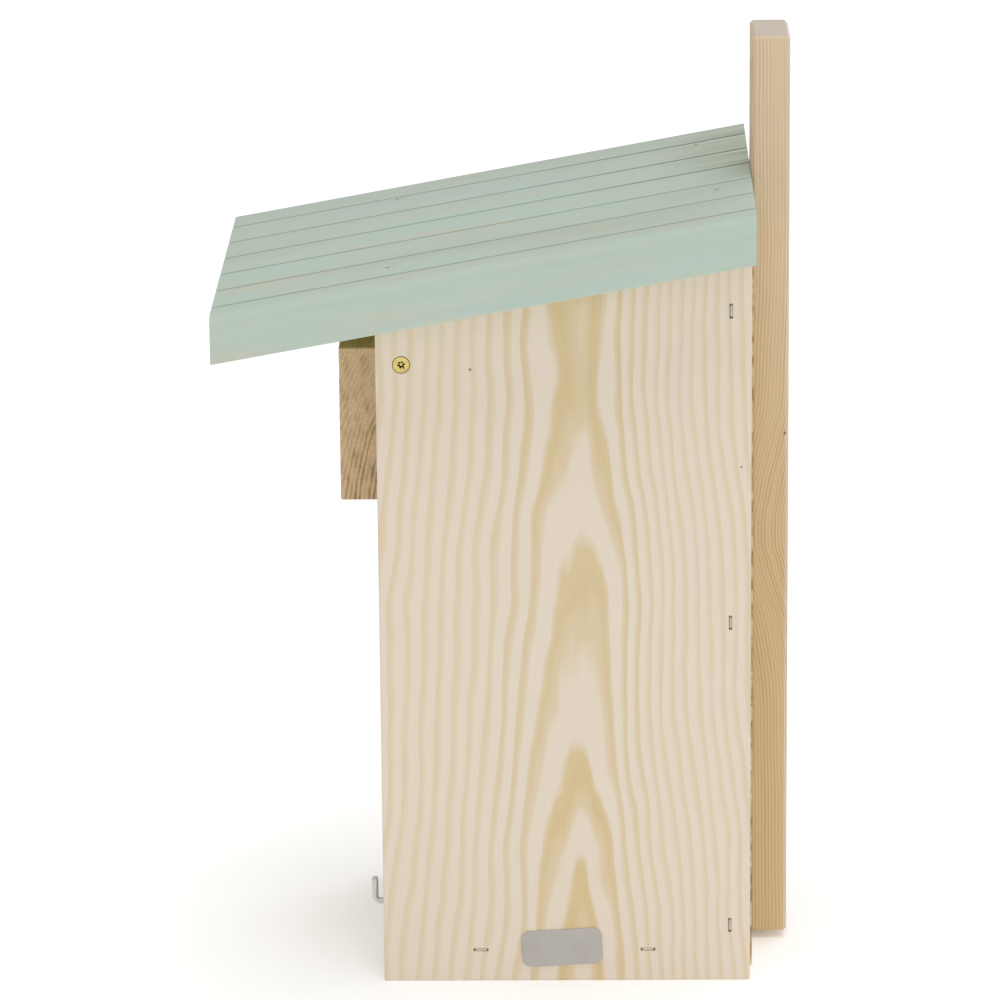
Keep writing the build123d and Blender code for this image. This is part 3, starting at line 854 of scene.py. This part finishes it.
# %% Roof staples
ROOF_LEG = 34 * MM
ROOF_SUNK = -0.05 * MM   # these stand a hair proud
RUST_RADIUS = 0.8 * MM
front_leg = roof_turned @ Vector((0, (WIRE_THICK - CROWN) / 2, ROOF_LEG / 2))
rust = []
for number in (1, 2, 3, 4):
    node = "roof_staple_" + str(number)
    low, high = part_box(node)
    bm = staple(ROOF_LEG, ROOF_SUNK)
    bmesh.ops.translate(bm, vec=(0, 0, ROOF_LEG / 2), verts=bm.verts)
    bmesh.ops.transform(bm, matrix=Matrix.Translation((low + high) / 2) @ roof_turned, verts=bm.verts)
    new_piece(node + "_wire", bm, "box", node, galvanised)
    rust.append((*((low + high) / 2 + front_leg), RUST_RADIUS))
# Rust has crept into the stain at each one's lower leg.
dark_spots(stain, rust)
print("four roof staples")

# %% [markdown]
# ## Turn hook
#
# The hook is one bent wire: a shank in the side panel's front edge and a short leg that turns. A
# circle is drawn along the shank, spun round the bend and drawn up the leg. The leg's end is rounded
# by rings that shrink along a quarter circle, like wire that was tumbled after cutting.

# %% Turn hook
HOOK_RADIUS = 1.25 * MM
HOOK_BEND = 2.0 * MM
TIP_RADIUS = 1.15 * MM
WIRE_POINTS = 24
HOOK_STEPS = 10
TIP_STEPS = 5
TIP_ROUND = math.radians(80)
hook_low, hook_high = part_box("turn_hook")
hook_x = (hook_low.x + hook_high.x) / 2
shank_z = hook_low.z + HOOK_RADIUS
leg_y = hook_low.y + HOOK_RADIUS
bm = bmesh.new()
made = bmesh.ops.create_circle(bm, cap_ends=True, segments=WIRE_POINTS, radius=HOOK_RADIUS)
start = Matrix.Translation((hook_x, hook_high.y, shank_z)) @ Matrix.Rotation(math.pi / 2, 4, "X")
bmesh.ops.transform(bm, matrix=start, verts=made["verts"])
ring = drawn(bm, bm.edges[:], (0, leg_y + HOOK_BEND - hook_high.y, 0))
ring = swung(bm, ring, (hook_x, leg_y + HOOK_BEND, shank_z + HOOK_BEND), HOOK_STEPS)
ring = drawn(bm, ring, (0, 0, hook_high.z - TIP_RADIUS - shank_z - HOOK_BEND))
done = 0.0
centre = Vector((hook_x, leg_y, 0))
for step in range(1, TIP_STEPS + 1):
    angle = step / TIP_STEPS * TIP_ROUND
    rise = TIP_RADIUS * math.sin(angle)
    ring = drawn(bm, ring, (0, 0, rise - done))
    verts = list({v for e in ring for v in e.verts})
    radius = HOOK_RADIUS - TIP_RADIUS + TIP_RADIUS * math.cos(angle)
    for vert in verts:
        flat = Vector((vert.co.x, vert.co.y, 0)) - centre
        vert.co = centre + flat.normalized() * radius + Vector((0, 0, vert.co.z))
    done = rise
bmesh.ops.contextual_create(bm, geom=ring)
new_piece("turn_hook_wire", bm, "hook", "turn_hook", bright_zinc)
print("hook leg tip at", round(hook_high.z, 4))

# %% [markdown]
# ## Label
#
# A small rounded plate is glued near the foot, a little out of level. It is left blank. It starts as a
# flat box whose four short edges are bevelled wide for the round corners, and whose front rim is
# bevelled finely, so that it catches the light.

# %% Label
LABEL = (32 * MM, 15 * MM)
LABEL_TILT = math.radians(3)
LABEL_CORNER = 3.6 * MM
LABEL_RIM = 0.18 * MM
label_low, label_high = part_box("label_plate")
thick = label_high.x - label_low.x
bm = bmesh.new()
bmesh.ops.create_cube(bm, size=1)
bmesh.ops.scale(bm, vec=(thick, *LABEL), verts=bm.verts)
short = [e for e in bm.edges if abs(e.verts[0].co.x - e.verts[1].co.x) > thick / 2]
bevel(bm, short, LABEL_CORNER, 8)
rim = [e for e in bm.edges if min(v.co.x for v in e.verts) > thick / 4]
bevel(bm, rim, LABEL_RIM, 3)
bmesh.ops.transform(bm, matrix=Matrix.Translation((label_low + label_high) / 2)
                    @ Matrix.Rotation(LABEL_TILT, 4, "X"), verts=bm.verts)

# Plastic from a satin mould: greyish, softly reflecting, with a fine even grain.
satin, tree, shader = new_material("Satin grey plastic, moulded", 0.5)
place = add(tree, "TexCoord").outputs["Object"]
grain = add(tree, "TexNoise", {"Vector": place, "Scale": 1800.0, "Detail": 2.0}).outputs[0]
cloud = add(tree, "TexNoise", {"Vector": place, "Scale": 90.0, "Detail": 2.0}).outputs[0]
both = add(tree, "Math", {0: grain, 1: 0.4, 2: cloud}, operation="MULTIPLY_ADD").outputs[0]
mixed = add(tree, "ValToRGB", {0: both})
mixed.color_ramp.elements[0].position = 0.45
mixed.color_ramp.elements[0].color = linear("b1aba6")
mixed.color_ramp.elements[1].position = 0.95
mixed.color_ramp.elements[1].color = linear("bab5b1")
tree.links.new(mixed.outputs[0], shader.inputs["Base Color"])
bump = add(tree, "Bump", {"Height": grain, "Strength": 0.2, "Distance": 0.00002})
tree.links.new(bump.outputs[0], shader.inputs["Normal"])
new_piece("label_blank", bm, "box", "label_plate", satin)
print("label ready")
